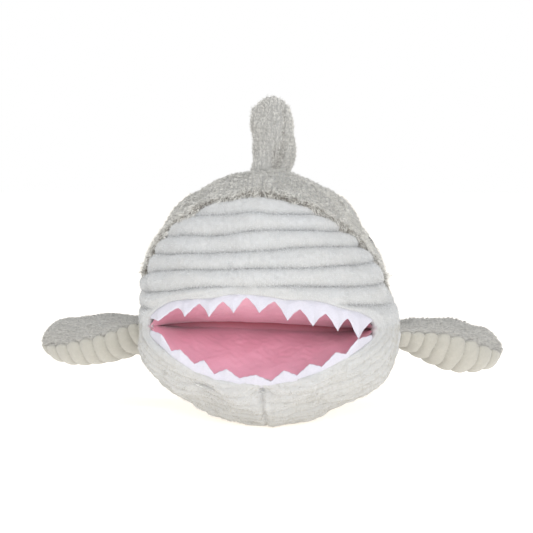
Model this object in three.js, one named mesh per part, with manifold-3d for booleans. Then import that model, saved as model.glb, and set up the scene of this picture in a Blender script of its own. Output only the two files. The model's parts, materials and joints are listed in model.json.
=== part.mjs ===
// A plush shark with an open mouth: sewn fabric panels over fibre stuffing, felt teeth, a fleece
// mouth lining, two button eyes, and stuffed fins that give at their seams.
// Millimetres, +Z up, nose towards -Y, +X is the shark's left. The origin is the middle of its footprint.
// Stations along the body, called s, are measured backwards along +Y from a plane just ahead of the nose.
import * as THREE from "three";
import { mergeVertices } from "three/addons/utils/BufferGeometryUtils.js";
import Module from "manifold-3d";

// ---- Driving dimensions ----
const BODY = {
  front: 4, // foremost station of the head
  girth: 80, // station where the body is widest
  end: 316, // rear end of the tail stalk
  halfWidth: 79.5, // at the girth
  backHeight: 157,
  waistHeight: 56, // height of the widest line at the girth
  sink: 1, // how far the round belly is pressed flat where it rests
  bluntness: { top: 3.5, side: 2.5, bottom: 1.45 }, // exponents of the head's dome: 2 is round, more is blunter
  stalkHalfWidth: 15,
  stalkBottom: 66,
  stalkTop: 98,
  endRounding: 14, // length over which the stalk's end closes
};
const MID_LENGTH = 191.204; // station halfway between the lips and the tail's tips, so y = 0

const SKIN = 2.4; // plush fabric with its pile
const FLEECE = 1.6; // mouth lining
const FELT = 1.4; // teeth
const GAP = 0.3; // kept between neighbouring pieces
const PIVOT_GAP = 1.2; // kept where two stuffed bodies hinge

const MOUTH = {
  foldStation: 80, // the lining's fold at the back of the mouth is also the jaw's pivot line
  foldHeight: 64.5,
  halfWidth: 66.5, // between the inner walls of the cheeks
  roofSlope: 0.32, // rise of the roof per mm forward on the centre plane
  roofCornerSlope: 0.1, // the same at the cheeks
  roofArch: 3, // exponent of the arch across the roof
  floorSlope: 0.415, // fall of the floor per mm forward on the centre plane
  floorCornerSlope: 0.22,
  floorBowl: 2.2, // exponent of the bowl across the floor
  throatStation: 72, // where the jaw's panels meet the belly's
  cheekLiningBottom: 40,
};
const TEETH = {
  upper: { count: 9, reach: 63, band: 3, height: 8.6, inset: 3.9 }, // reach: half the strip's width
  lower: { count: 9, reach: 63, band: 2.5, height: 5.5, inset: 0.6 },
};
const TAIL_HINGE = { station: 252, halfAngle: 65 }; // vertical pivot of the tail stalk
const EYE = { station: 124, height: 110, radius: 6.5, seat: -1, rim: 0.4, dome: 2.6, shank: 1.9, shankLength: 9 };
const WASHER = { radius: 7.5, thickness: 1.2, depth: 5.4 };
const LABEL = { station: 214, width: 18, drop: 16, top: 60, thickness: 0.8, clearance: 1.5 };

// The seam between the grey back and the white underside in side view: [station, height].
const FLANK_SEAM = [
  [14, 180], [20, 147], [23, 142], [27.5, 133], [38, 120], [46, 108], [51, 99], [57, 92], [66, 86], [78, 80],
  [92, 70], [106, 61], [130, 54], [162, 55], [210, 61], [330, 84],
];
// Where the snout panel ends at the mouth's corners.
const CORNER = { station: 76, height: 65.4 };

// Each fin grows from a root point along a span direction. Lengths are along its own axes:
// chord from leading to trailing edge, and thickness across. The root is a pinched seam.
const PECTORAL = {
  root: { from: 106, to: 162, height: 52, clearance: 3.2 },
  span: { left: 87.73, right: 87 }, chord: 56, tipChord: 50, sweep: 24, thickness: 32, rootThickness: 5, droop: 8, curl: 4,
  twist: { left: [6, 15.5, 3], right: [15.5, 2, -11], middle: 0.55 }, // degrees, leading edge up: root, middle, tip
};
const DORSAL = {
  root: { from: 118, to: 186, clearance: 2.8 },
  span: 55, chord: 66, tipChord: 30, sweep: 26, thickness: 25, rootThickness: 8,
};
const TAIL_FIN = {
  hingeStation: 319, height: 84, reach: 53, chord: 46, tipChord: 26, sweep: 27, thickness: 17, lift: 2, clearance: 2,
};
const FIN_SKIN = 2;

const FIN_AROUND = 18; // facets around a fin
const FIN_ALONG = 12; // facets along a fin
const AROUND = 32; // facets around the body
const ALONG = 30; // facets along the body
const FAR = 400; // reach of the cutting prisms

const wasm = await Module();
wasm.setup();

// ---- Materials ----
const cloth = (color, roughness = 0.95) => new THREE.MeshStandardMaterial({ color, roughness, metalness: 0 });
const MATERIALS = {
  greyPlush: cloth(0xbdbcb8),
  whiteRibbed: cloth(0xdcdfe2),
  pinkFleece: cloth(0xd08c9e),
  whiteFelt: cloth(0xe4e2ee, 0.9),
  stuffing: cloth(0xf4f4f2),
  labelTape: cloth(0xf2f1ec, 0.7),
  blackPlastic: cloth(0x121214, 0.15),
  whitePlastic: cloth(0xeeeeea, 0.4),
};

// ---- Solids ----
const yOf = (s) => s - MID_LENGTH;

// A closed geometry as a solid; a mirrored or turned-out one is put right.
function solidOf(geometry) {
  const bare = geometry.index ? geometry.toNonIndexed() : geometry.clone();
  bare.deleteAttribute("normal");
  bare.deleteAttribute("uv");
  const merged = mergeVertices(bare, 1e-3);
  const triVerts = new Uint32Array(merged.index.array);
  const vertProperties = merged.attributes.position.array;
  const solid = new wasm.Manifold(new wasm.Mesh({ numProp: 3, vertProperties, triVerts }));
  if (solid.volume() >= 0) return solid;
  for (let i = 0; i < triVerts.length; i += 3) triVerts.subarray(i, i + 2).reverse();
  return new wasm.Manifold(new wasm.Mesh({ numProp: 3, vertProperties, triVerts }));
}

function geometryOf(solid) {
  const { vertProperties, triVerts } = solid.getMesh();
  const geometry = new THREE.BufferGeometry();
  geometry.setAttribute("position", new THREE.BufferAttribute(vertProperties, 3));
  geometry.setIndex(new THREE.BufferAttribute(triVerts, 1));
  return geometry;
}

const group = new THREE.Group();
group.name = "plush_shark";

function addPiece(name, solid, material) {
  const mesh = new THREE.Mesh(geometryOf(solid), material);
  mesh.name = name;
  group.add(mesh);
}

// Moves every vertex of a geometry: place(vertex) changes the vector it is given.
function shaped(geometry, place) {
  const position = geometry.attributes.position;
  const vertex = new THREE.Vector3();
  for (let i = 0; i < position.count; i++) {
    place(vertex.fromBufferAttribute(position, i));
    position.setXYZ(i, vertex.x, vertex.y, vertex.z);
  }
  return geometry;
}

// A prism across the body whose side-view outline is a list of [station, height].
function prism(outline, x0 = -FAR, x1 = FAR) {
  const shape = new THREE.Shape(outline.map(([s, z]) => new THREE.Vector2(yOf(s), z)));
  const geometry = new THREE.ExtrudeGeometry(shape, { depth: x1 - x0, bevelEnabled: false });
  // The shape's own x, y and depth become the frame's y, z and x.
  return solidOf(shaped(geometry, (v) => v.set(x0 + v.z, v.x, v.y)));
}
const wholeSide = [[-FAR, -FAR], [FAR * 2, -FAR], [FAR * 2, FAR], [-FAR, FAR]];
const between = (x0, x1) => prism(wholeSide, x0, x1);
const left = between(GAP / 2, FAR);
const right = between(-FAR, -GAP / 2);
const behind = (s) => prism([[s, -FAR], [FAR * 2, -FAR], [FAR * 2, FAR], [s, FAR]]);

// ---- Body outline ----
const signedPower = (value, power) => Math.sign(value) * Math.abs(value) ** power;

// Half width, waist height, top and bottom of the body at a station.
function section(s) {
  const rear = THREE.MathUtils.clamp((s - BODY.girth) / (BODY.end - BODY.girth), 0, 1);
  const front = THREE.MathUtils.clamp((BODY.girth - s) / (BODY.girth - BODY.front), 0, 1);
  const last = THREE.MathUtils.clamp((s - BODY.end + BODY.endRounding) / BODY.endRounding, 0, 1);
  const dome = (bluntness) => (1 - front ** bluntness) ** (1 / bluntness) * Math.sqrt(1 - 0.8 * last * last);
  const waist = BODY.waistHeight + (0.5 * (BODY.stalkTop + BODY.stalkBottom) - BODY.waistHeight) * rear;
  const width = BODY.stalkHalfWidth + (BODY.halfWidth - BODY.stalkHalfWidth) * (1 - rear ** 1.9) ** 1.1;
  const top = BODY.stalkTop + (BODY.backHeight - BODY.stalkTop) * (1 - rear ** 2.6);
  const bottom = -BODY.sink + (BODY.stalkBottom + BODY.sink) * rear ** 3;
  return {
    width: width * dome(BODY.bluntness.side),
    waist,
    top: waist + (top - waist) * dome(BODY.bluntness.top),
    bottom: waist - (waist - bottom) * dome(BODY.bluntness.bottom),
  };
}

// Half width of the body at a station and height.
function halfWidthAt(s, z) {
  const { width, waist, top, bottom } = section(s);
  const rise = Math.abs(z - waist) / (z > waist ? top - waist : waist - bottom);
  return rise >= 1 ? 0 : width * Math.sqrt(1 - rise * rise);
}

// The whole body, inset by a depth and pressed flat where it rests.
function body(inset) {
  const start = BODY.front + inset;
  const end = BODY.end - inset;
  const geometry = shaped(new THREE.SphereGeometry(1, AROUND, ALONG), (v) => {
    // The sphere's poles lie along its own y: they become the nose and the stalk's end.
    const along = Math.acos(THREE.MathUtils.clamp(-v.y, -1, 1)) / Math.PI;
    const s = start + (end - start) * (0.5 - 0.5 * Math.cos(along * Math.PI));
    const pole = along < 1e-6 || along > 1 - 1e-6;
    const { width, waist, top, bottom } = section(s);
    const angle = Math.atan2(v.z, v.x);
    const across = Math.cos(angle);
    const up = Math.sin(angle);
    const reach = up > 0 ? top - waist : waist - bottom;
    const shrink = (size) => (pole ? 0 : Math.max(size - inset, 0.4));
    v.set(shrink(width) * across, yOf(s), waist + shrink(reach) * up);
  });
  return solidOf(geometry).intersect(prism([[-FAR, inset], [FAR * 2, inset], [FAR * 2, FAR], [-FAR, FAR]]));
}

const outer = body(0);
const lined = body(SKIN + GAP);
const shell = outer.subtract(body(SKIN));

// ---- Mouth, throat and tail cuts ----
const overCheeks = (x, exponent) => Math.min(Math.abs(x) / MOUTH.halfWidth, 1) ** exponent;
const roofAt = (x, s) => {
  const slope = THREE.MathUtils.lerp(MOUTH.roofSlope, MOUTH.roofCornerSlope, overCheeks(x, MOUTH.roofArch));
  return MOUTH.foldHeight + (MOUTH.foldStation - s) * slope;
};
const floorAt = (x, s) => {
  const slope = THREE.MathUtils.lerp(MOUTH.floorSlope, MOUTH.floorCornerSlope, overCheeks(x, MOUTH.floorBowl));
  return MOUTH.foldHeight - (MOUTH.foldStation - s) * slope;
};

// A wedge between two surfaces z = bottom(x, s) and z = top(x, s), within |x| < halfWidth, ahead of a station.
// Every wedge is cut from one grid, so that a lining's two surfaces stay parallel.
function wedge(halfWidth, lastStation, bottom, top) {
  const [grid, bends] = [84, 28];
  const sheet = shaped(new THREE.BoxGeometry(2, 1, 1, bends, 1, 1), (v) => {
    const x = v.x * grid;
    const s = v.y > 0 ? MOUTH.foldStation + 1 : -20;
    v.set(x, yOf(s), v.z > 0 ? top(x, s) : bottom(x, s));
  });
  const side = [[-FAR, -FAR], [lastStation, -FAR], [lastStation, FAR], [-FAR, FAR]];
  return solidOf(sheet).intersect(prism(side, -halfWidth, halfWidth));
}

// The jaw: under the mouth's floor, lowered by a depth, inside the cheeks, ahead of the throat.
function jawRegion(drop, side, reach = 0) {
  const fold = MOUTH.foldStation - PIVOT_GAP + reach;
  const under = wedge(side, fold, () => -20, (x, s) => floorAt(x, s) - drop);
  return under.intersect(prism([[-30, -30], [MOUTH.throatStation - PIVOT_GAP + reach, -30], [fold, 90], [-30, 90]]));
}
// What the trunk leaves free: the mouth under its roof, raised by a depth, and the jaw with its clearance.
function mouthCut(raise) {
  const side = MOUTH.halfWidth + raise;
  const mouth = wedge(side, MOUTH.foldStation, () => MOUTH.foldHeight - 1, (x, s) => roofAt(x, s) + raise);
  const reach = [[-20, -20], [MOUTH.throatStation, -20], [MOUTH.foldStation, MOUTH.foldHeight], [-20, MOUTH.foldHeight]];
  return mouth.add(prism(reach, -side, side));
}

const tailRadius = section(TAIL_HINGE.station).width;
function tailCylinder(radius) {
  const geometry = new THREE.CylinderGeometry(radius, radius, FAR, 48).rotateX(Math.PI / 2);
  return solidOf(geometry.translate(0, yOf(TAIL_HINGE.station), BODY.backHeight / 2));
}
const trunkEnd = TAIL_HINGE.station - tailRadius * Math.cos(THREE.MathUtils.degToRad(TAIL_HINGE.halfAngle));
const tailCut = behind(trunkEnd).add(tailCylinder(tailRadius + PIVOT_GAP));
const stalkRegion = behind(TAIL_HINGE.station).add(tailCylinder(tailRadius));

// ---- Fabric regions in side view, half a gap each side of a seam ----
const seam = (shift) => FLANK_SEAM.map(([s, z]) => [s + shift / 2, z + shift]);
const aboveSeam = prism([...seam(GAP / 2), [FAR * 2, 84 + GAP / 2], [FAR * 2, FAR], [14, FAR]]);
const belowSeam = prism([[-20, 180], ...seam(-GAP / 2), [FAR * 2, 84 - GAP / 2], [FAR * 2, -FAR], [-20, -FAR]]);
const snoutRegion = (shift) => {
  const { station, height } = CORNER;
  return prism([[-20, height - shift], [station + shift, height - shift], [station + shift, FAR], [-20, FAR]]);
};

// ---- Eyes: a domed button whose shank passes through the skin to a washer ----
function eyeParts(side) {
  const surface = new THREE.Vector3(side * halfWidthAt(EYE.station, EYE.height), yOf(EYE.station), EYE.height);
  const step = 1;
  const along = halfWidthAt(EYE.station + step, EYE.height) - halfWidthAt(EYE.station - step, EYE.height);
  const rise = halfWidthAt(EYE.station, EYE.height + step) - halfWidthAt(EYE.station, EYE.height - step);
  const normal = new THREE.Vector3(side, (-0.5 * along) / step, (-0.5 * rise) / step).normalize();
  const turn = new THREE.Quaternion().setFromUnitVectors(new THREE.Vector3(0, 1, 0), normal);
  // Revolves a [radius, height] outline about the eye's own axis, with height 0 on the skin.
  const turned = (outline, clearance = 0) => {
    const points = outline.map(([r, h]) => new THREE.Vector2(r === 0 ? 0 : r + clearance, h));
    const matrix = new THREE.Matrix4().compose(surface, turn, new THREE.Vector3(1, 1, 1));
    return solidOf(new THREE.LatheGeometry(points, 28).applyMatrix4(matrix));
  };
  const { seat, rim, radius, shank, shankLength } = EYE;
  const button = [[0, -shankLength], [shank, -shankLength], [shank, seat], [radius - rim, seat]];
  for (let i = 0; i <= 6; i++) {
    const angle = (i / 6) * (Math.PI / 2);
    button.push([i === 6 ? 0 : radius * Math.cos(angle), seat + rim + EYE.dome * Math.sin(angle)]);
  }
  const bore = shank + GAP;
  const far = -WASHER.depth - WASHER.thickness;
  const ring = [[bore, far], [WASHER.radius, far], [WASHER.radius, -WASHER.depth], [bore, -WASHER.depth], [bore, far]];
  const pocket = [[0, far - GAP], [WASHER.radius, far - GAP], [WASHER.radius, -WASHER.depth + GAP], [0, -WASHER.depth + GAP]];
  // The button is seated in a dimple of the plush.
  const dimple = seat - GAP;
  const hole = [[0, -shankLength - GAP], [shank, -shankLength - GAP], [shank, dimple], [radius, dimple], [radius, 6], [0, 6]];
  return {
    button: turned(button),
    washer: turned(ring),
    hole: turned(hole, GAP),
    pocket: turned(pocket, GAP),
  };
}
const leftEye = eyeParts(1);
const rightEye = eyeParts(-1);

// ---- Trunk ----
const trunkShell = shell.subtract(mouthCut(0)).subtract(tailCut).subtract(leftEye.hole).subtract(rightEye.hole);
const back = trunkShell.intersect(aboveSeam);
addPiece("back_panel_left", back.intersect(left), MATERIALS.greyPlush);
addPiece("back_panel_right", back.intersect(right), MATERIALS.greyPlush);
const underside = trunkShell.intersect(belowSeam);
addPiece("snout_panel", underside.intersect(snoutRegion(0)), MATERIALS.whiteRibbed);
const belly = underside.subtract(snoutRegion(GAP));
addPiece("belly_panel_left", belly.intersect(left), MATERIALS.whiteRibbed);
addPiece("belly_panel_right", belly.intersect(right), MATERIALS.whiteRibbed);
const filling = [leftEye.hole, leftEye.pocket, rightEye.hole, rightEye.pocket].reduce(
  (solid, cut) => solid.subtract(cut),
  lined.subtract(mouthCut(FLEECE + GAP)).subtract(tailCut),
);
addPiece("trunk_stuffing", filling, MATERIALS.stuffing);
// The roof lining also comes down the inside of both cheeks, beside the jaw.
const liningTop = (x, s) => roofAt(x, s) + FLEECE;
const liningSide = MOUTH.halfWidth + FLEECE;
const roofSheet = wedge(liningSide, MOUTH.foldStation - GAP, () => MOUTH.foldHeight, liningTop);
const cheekSheets = wedge(liningSide, MOUTH.throatStation, () => MOUTH.cheekLiningBottom, liningTop);
const roofLining = lined.intersect(roofSheet.add(cheekSheets)).subtract(mouthCut(0));
addPiece("mouth_roof_lining", roofLining, MATERIALS.pinkFleece);
addPiece("eye_left", leftEye.button, MATERIALS.blackPlastic);
addPiece("eye_right", rightEye.button, MATERIALS.blackPlastic);
addPiece("eye_washer_left", leftEye.washer, MATERIALS.whitePlastic);
addPiece("eye_washer_right", rightEye.washer, MATERIALS.whitePlastic);
const labelX = -halfWidthAt(LABEL.station - LABEL.width / 2, LABEL.top) - LABEL.clearance;
const label = new THREE.BoxGeometry(LABEL.thickness, LABEL.width, LABEL.drop);
label.translate(labelX, yOf(LABEL.station), LABEL.top - LABEL.drop / 2);
addPiece("care_label", solidOf(label), MATERIALS.labelTape);

// ---- Jaw ----
const jawSide = MOUTH.halfWidth - PIVOT_GAP / 2;
const chin = shell.intersect(jawRegion(0, jawSide));
addPiece("chin_panel_left", chin.intersect(left), MATERIALS.whiteRibbed);
addPiece("chin_panel_right", chin.intersect(right), MATERIALS.whiteRibbed);
const floorLining = lined.intersect(jawRegion(0, jawSide)).subtract(jawRegion(FLEECE, jawSide + 1, 1));
addPiece("mouth_floor_lining", floorLining, MATERIALS.pinkFleece);
addPiece("jaw_stuffing", lined.intersect(jawRegion(FLEECE + GAP, jawSide)), MATERIALS.stuffing);

// ---- Teeth: a felt strip parallel to the skin, cut to points ----
// lipAt(x) is the lip's height seen from the front; direction is +1 for teeth that stand up, -1 for hanging.
function teethStrip({ count, reach, band, height, inset }, lipAt, direction) {
  const outline = [];
  for (let i = 0; i <= count * 2; i++) {
    const x = THREE.MathUtils.lerp(-reach, reach, i / (count * 2));
    const tip = i % 2 === 1;
    outline.push([x, lipAt(x) + direction * (tip ? band + height : band)]);
  }
  outline.push([reach, lipAt(0) - direction * 60], [-reach, lipAt(0) - direction * 60]);
  const shape = new THREE.Shape(outline.map(([x, z]) => new THREE.Vector2(x, z)));
  const curtain = new THREE.ExtrudeGeometry(shape, { depth: 90, bevelEnabled: false });
  // The shape lies in the front view, and its depth runs backwards from ahead of the nose.
  shaped(curtain, (v) => v.set(v.x, yOf(v.z - 20), v.y));
  return body(inset).subtract(body(inset + FELT)).intersect(solidOf(curtain));
}
// The station where the skin stands over a point of the front view.
function faceStation(x, z) {
  for (let s = BODY.front; s < BODY.girth; s += 0.5) if (halfWidthAt(s, z) > Math.abs(x)) return s;
  return BODY.girth;
}
function lipHeight(surfaceAt, x) {
  let z = surfaceAt(x, 12);
  for (let i = 0; i < 8; i++) z = surfaceAt(x, faceStation(x, z));
  return z;
}
const underRoof = wedge(MOUTH.halfWidth - 1, 60, () => 0, (x, s) => roofAt(x, s) - GAP);
const belowFloor = wedge(FAR, 75, () => -20, (x, s) => floorAt(x, s) + GAP);
const upperLip = (x) => lipHeight(roofAt, x);
const lowerLip = (x) => lipHeight(floorAt, x);
addPiece("teeth_upper", teethStrip(TEETH.upper, upperLip, -1).intersect(underRoof), MATERIALS.whiteFelt);
addPiece("teeth_lower", teethStrip(TEETH.lower, lowerLip, 1).subtract(belowFloor), MATERIALS.whiteFelt);

// ---- Tail stalk ----
const stalkShell = shell.intersect(stalkRegion);
addPiece("tail_back_panel", stalkShell.intersect(aboveSeam), MATERIALS.greyPlush);
addPiece("tail_belly_panel", stalkShell.intersect(belowSeam), MATERIALS.whiteRibbed);
addPiece("tail_stuffing", lined.intersect(stalkRegion), MATERIALS.stuffing);

// ---- Fins ----
// A blade around a spine: outline(u) gives, for u from 0 to 1 along the span, the middle of the chord, the half
// chord and the half thickness; frame maps (span, chord, thickness) coordinates to the shark's frame.
function blade(outline, frame, inset) {
  const geometry = shaped(new THREE.SphereGeometry(1, FIN_AROUND, FIN_ALONG), (v) => {
    const raw = Math.acos(THREE.MathUtils.clamp(-v.y, -1, 1)) / Math.PI;
    const u = 0.5 - 0.5 * Math.cos(raw * Math.PI);
    const { span, middle, halfChord, halfThickness, bend } = outline(u);
    const pole = raw < 1e-6 || raw > 1 - 1e-6;
    const angle = Math.atan2(v.z, v.x);
    const size = (half) => (pole ? 0 : Math.max(half - inset, 0.35));
    const chordwise = middle + size(halfChord) * signedPower(Math.cos(angle), 0.9);
    const across = bend + size(halfThickness) * Math.sin(angle);
    const end = u < 0.5 ? inset * (1 - 2 * u) : -inset * (2 * u - 1);
    v.copy(frame(span + end, chordwise, across));
  });
  return solidOf(geometry);
}

// The space above a fin's middle sheet, raised by a height. It bends where the blade does.
function aboveSheet(frame, bendAt, spanMax, raise) {
  const box = new THREE.BoxGeometry(1, 1, 1, FIN_ALONG, 10, 1);
  const [margin, halfChord, depth] = [6, 75, 24];
  shaped(box, (v) => {
    const u = 0.5 - 0.5 * Math.cos((v.x + 0.5) * Math.PI);
    const end = Math.abs(v.x) > 0.499 ? Math.sign(v.x) * margin : 0;
    const span = u * spanMax + end;
    v.copy(frame(span, v.y * 2 * halfChord, bendAt(span) + (v.z > 0 ? depth : raise)));
  });
  return solidOf(box);
}

function addFin(names, outline, frame, bendAt, spanMax, materials) {
  const whole = blade(outline, frame, 0);
  const skin = whole.subtract(blade(outline, frame, FIN_SKIN));
  addPiece(names[0], skin.intersect(aboveSheet(frame, bendAt, spanMax, GAP / 2)), materials[0]);
  addPiece(names[1], skin.subtract(aboveSheet(frame, bendAt, spanMax, -GAP / 2)), materials[1]);
  addPiece(names[2], blade(outline, frame, FIN_SKIN + GAP), MATERIALS.stuffing);
}

const tipRounding = (u, power) => Math.sqrt(1 - u ** power);
const swell = (u, root, full) => root + (full - root) * Math.sin(Math.min(u / 0.45, 1) * (Math.PI / 2));

// Pectoral fins: the root line follows the flank; each droops, and the two twist a little differently.
export function pectoralRoot(side) {
  const { from, to, height, clearance } = PECTORAL.root;
  const a = new THREE.Vector3(side * (halfWidthAt(from, height) + clearance), yOf(from), height);
  const b = new THREE.Vector3(side * (halfWidthAt(to, height) + clearance), yOf(to), height);
  return { a, b, middle: a.clone().lerp(b, 0.5), axis: b.clone().sub(a).normalize() };
}
function pectoral(side) {
  const word = side > 0 ? "left" : "right";
  const { chord, tipChord, sweep, thickness, rootThickness, droop, curl } = PECTORAL;
  const span = PECTORAL.span[word];
  const [rootTwist, middleTwist, tipTwist] = PECTORAL.twist[word];
  const twistMiddle = PECTORAL.twist.middle;
  const { middle, axis } = pectoralRoot(side);
  const outward = new THREE.Vector3(side, 0, 0);
  outward.addScaledVector(axis, -outward.dot(axis)).normalize();
  const up = new THREE.Vector3(0, 0, 1);
  const drooped = outward.clone().applyAxisAngle(axis, side * THREE.MathUtils.degToRad(droop));
  const lift = up.clone().applyAxisAngle(axis, side * THREE.MathUtils.degToRad(droop));
  const bendAt = (distance) => -curl * Math.max(distance / span, 0) ** 2;
  const outline = (u) => ({
    span: span * u,
    middle: sweep * u ** 1.2,
    halfChord: 0.5 * THREE.MathUtils.lerp(chord, tipChord, u) * tipRounding(u, 3.2),
    halfThickness: 0.5 * swell(u, rootThickness, thickness) * tipRounding(u, 4),
    bend: bendAt(span * u),
  });
  const { smoothstep } = THREE.MathUtils;
  const frame = (distance, chordwise, across) => {
    const inner = (middleTwist - rootTwist) * smoothstep(distance / span, 0, twistMiddle);
    const outer = (tipTwist - middleTwist) * smoothstep(distance / span, twistMiddle, 1);
    const twist = THREE.MathUtils.degToRad(rootTwist + inner + outer);
    const along = chordwise * Math.cos(twist) + across * Math.sin(twist);
    const rise = across * Math.cos(twist) - chordwise * Math.sin(twist);
    return middle.clone().addScaledVector(drooped, distance).addScaledVector(axis, along).addScaledVector(lift, rise);
  };
  addFin(
    [`pectoral_${word}_top_panel`, `pectoral_${word}_under_panel`, `pectoral_${word}_stuffing`],
    outline, frame, bendAt, span, [MATERIALS.greyPlush, MATERIALS.whiteRibbed],
  );
}
pectoral(1);
pectoral(-1);

// Dorsal fin: its root line lies along the top of the back.
export function dorsalRoot() {
  const { from, to, clearance } = DORSAL.root;
  const a = new THREE.Vector3(0, yOf(from), section(from).top + clearance);
  const b = new THREE.Vector3(0, yOf(to), section(to).top + clearance);
  return { a, b, middle: a.clone().lerp(b, 0.5), axis: b.clone().sub(a).normalize() };
}
{
  const { span, chord, tipChord, sweep, thickness, rootThickness } = DORSAL;
  const { middle, axis } = dorsalRoot();
  const up = new THREE.Vector3(0, 0, 1).addScaledVector(axis, -axis.z).normalize();
  const outline = (u) => ({
    span: span * u,
    middle: sweep * u ** 1.1,
    halfChord: 0.5 * THREE.MathUtils.lerp(chord, tipChord, u ** 0.8) * tipRounding(u, 4),
    halfThickness: 0.5 * swell(u, rootThickness, thickness) * tipRounding(u, 4),
    bend: 0,
  });
  const frame = (distance, chordwise, across) =>
    middle.clone().addScaledVector(up, distance).addScaledVector(axis, chordwise).add(new THREE.Vector3(across, 0, 0));
  addFin(
    ["dorsal_panel_left", "dorsal_panel_right", "dorsal_stuffing"],
    outline, frame, () => 0, span, [MATERIALS.greyPlush, MATERIALS.greyPlush],
  );
}

// Tail fin: one upright blade with an upper and a lower lobe, both swept back.
{
  const { hingeStation, height, reach, chord, tipChord, sweep, thickness, lift, clearance } = TAIL_FIN;
  const outline = (u) => {
    const t = 2 * u - 1; // -1 at the lower tip, +1 at the upper tip
    const half = 0.5 * THREE.MathUtils.lerp(chord, tipChord, Math.abs(t)) * tipRounding(Math.abs(t), 5);
    return {
      span: reach * (t + 1),
      middle: clearance + 0.5 * chord + sweep * Math.abs(t) ** 1.5 + lift * t,
      halfChord: half,
      halfThickness: 0.5 * thickness * (1 - 0.35 * t * t) * tipRounding(Math.abs(t), 6),
      bend: 0,
    };
  };
  const frame = (distance, chordwise, across) =>
    new THREE.Vector3(across, yOf(hingeStation) + chordwise, height - reach + distance);
  addFin(
    ["tail_fin_panel_left", "tail_fin_panel_right", "tail_fin_stuffing"],
    outline, frame, () => 0, reach * 2, [MATERIALS.greyPlush, MATERIALS.greyPlush],
  );
}

export default group;
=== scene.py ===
"""The plush shark's looks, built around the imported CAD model.

Shapes are computed in millimetres and stations s, as in the CAD: s runs back along +Y from just ahead of the
nose. Every skin is a dense mesh whose ribs, seams and lumps are real geometry, and the pile is thin strands.
"""
import json
import math

import bpy
import numpy as np
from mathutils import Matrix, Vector

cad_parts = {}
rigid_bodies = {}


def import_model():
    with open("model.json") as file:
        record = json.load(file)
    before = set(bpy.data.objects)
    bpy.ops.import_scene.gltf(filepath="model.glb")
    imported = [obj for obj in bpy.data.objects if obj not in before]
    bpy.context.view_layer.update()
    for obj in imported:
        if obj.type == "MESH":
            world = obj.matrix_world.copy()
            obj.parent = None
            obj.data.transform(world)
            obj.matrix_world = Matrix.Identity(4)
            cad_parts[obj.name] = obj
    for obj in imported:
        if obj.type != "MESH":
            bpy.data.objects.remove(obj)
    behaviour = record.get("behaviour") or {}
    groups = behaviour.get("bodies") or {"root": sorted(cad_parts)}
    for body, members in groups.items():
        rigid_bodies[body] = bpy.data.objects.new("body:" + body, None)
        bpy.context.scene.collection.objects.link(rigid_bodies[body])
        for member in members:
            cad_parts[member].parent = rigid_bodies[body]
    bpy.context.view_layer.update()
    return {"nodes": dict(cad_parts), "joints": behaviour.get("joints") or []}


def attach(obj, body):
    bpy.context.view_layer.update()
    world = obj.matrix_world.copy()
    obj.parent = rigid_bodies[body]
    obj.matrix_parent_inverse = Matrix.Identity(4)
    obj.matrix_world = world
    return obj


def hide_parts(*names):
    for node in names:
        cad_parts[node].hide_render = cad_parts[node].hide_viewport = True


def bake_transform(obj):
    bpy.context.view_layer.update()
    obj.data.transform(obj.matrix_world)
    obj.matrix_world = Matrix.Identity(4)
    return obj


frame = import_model()
JOINTS = {joint["name"]: joint for joint in frame["joints"]}

# ---- Sizes shared with the CAD, in mm ----
FRONT, GIRTH, END = 4.0, 80.0, 316.0
HALF_WIDTH, BACK_HEIGHT, WAIST, SINK = 79.5, 157.0, 56.0, 1.0
BLUNT_TOP, BLUNT_SIDE, BLUNT_BOTTOM = 3.5, 2.5, 1.45
STALK_HALF_WIDTH, STALK_BOTTOM, STALK_TOP, END_ROUNDING = 15.0, 66.0, 98.0, 14.0
FOLD_STATION = 80.0
MID_LENGTH = FOLD_STATION - JOINTS["jaw_close"]["pos_m"][1] * 1000
FIN_STATION = JOINTS["tail_fin_flex"]["pos_m"][1] * 1000 + MID_LENGTH
FIN_HEIGHT = 84.0

# Side views [station, height] of the seam between the grey back and the white underside.
SEAM_REAR = [(92, 70), (106, 61), (130, 54), (162, 55), (210, 61), (330, 84)]
SEAM_RIGHT = [(12, 160), (19.5, 147), (21, 144), (24, 142.3), (27.2, 139), (30, 132.5), (38.5, 123.5), (45, 115),
              (50, 106), (56, 98), (66, 90.5), (78, 83)] + SEAM_REAR
SEAM_LEFT = [(12, 160), (19.5, 147), (20.6, 143.2), (22, 138.5), (26, 133), (30, 127), (38.5, 117), (47.5, 106),
             (52, 97), (57, 89.5), (66, 82.5), (78, 77.5)] + SEAM_REAR
# The mouth seen from the front: [x, height]. The shark's right (-x) stands a little higher.
CORNER_RIGHT, CORNER_LEFT = -68.0, 66.5
UPPER_LIP = [(-68, 67.6), (-67, 70.3), (-64.1, 74.1), (-59.3, 77.9), (-54.6, 80.8), (-44.7, 83.2), (-36.9, 83.9),
             (-28.4, 84.9), (-18.3, 87.6), (-11.6, 87.9), (-3.3, 87.8), (4.9, 87), (17.3, 84.5), (29.6, 83.9),
             (37.8, 82.1), (46.1, 78.6), (52.7, 76.5), (58.6, 74.6), (62.8, 71.5), (65.8, 68.4), (66.5, 66)]
LOWER_LIP = [(-68, 64.5), (-66.8, 61.6), (-63.5, 58.2), (-56.4, 53), (-50.3, 47.7), (-43.6, 43.1), (-37.7, 39.9),
             (-31, 37.2), (-24.3, 35), (-17.6, 33.8), (-10.9, 33.2), (-4.1, 33), (4.3, 33.2), (11, 33.7),
             (18.6, 35.1), (25.3, 37.4), (32, 40.1), (37.9, 43.1), (44.5, 47), (50.3, 50.4), (55.3, 53.4),
             (59.5, 56.4), (64, 60), (66.5, 63.6)]
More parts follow.
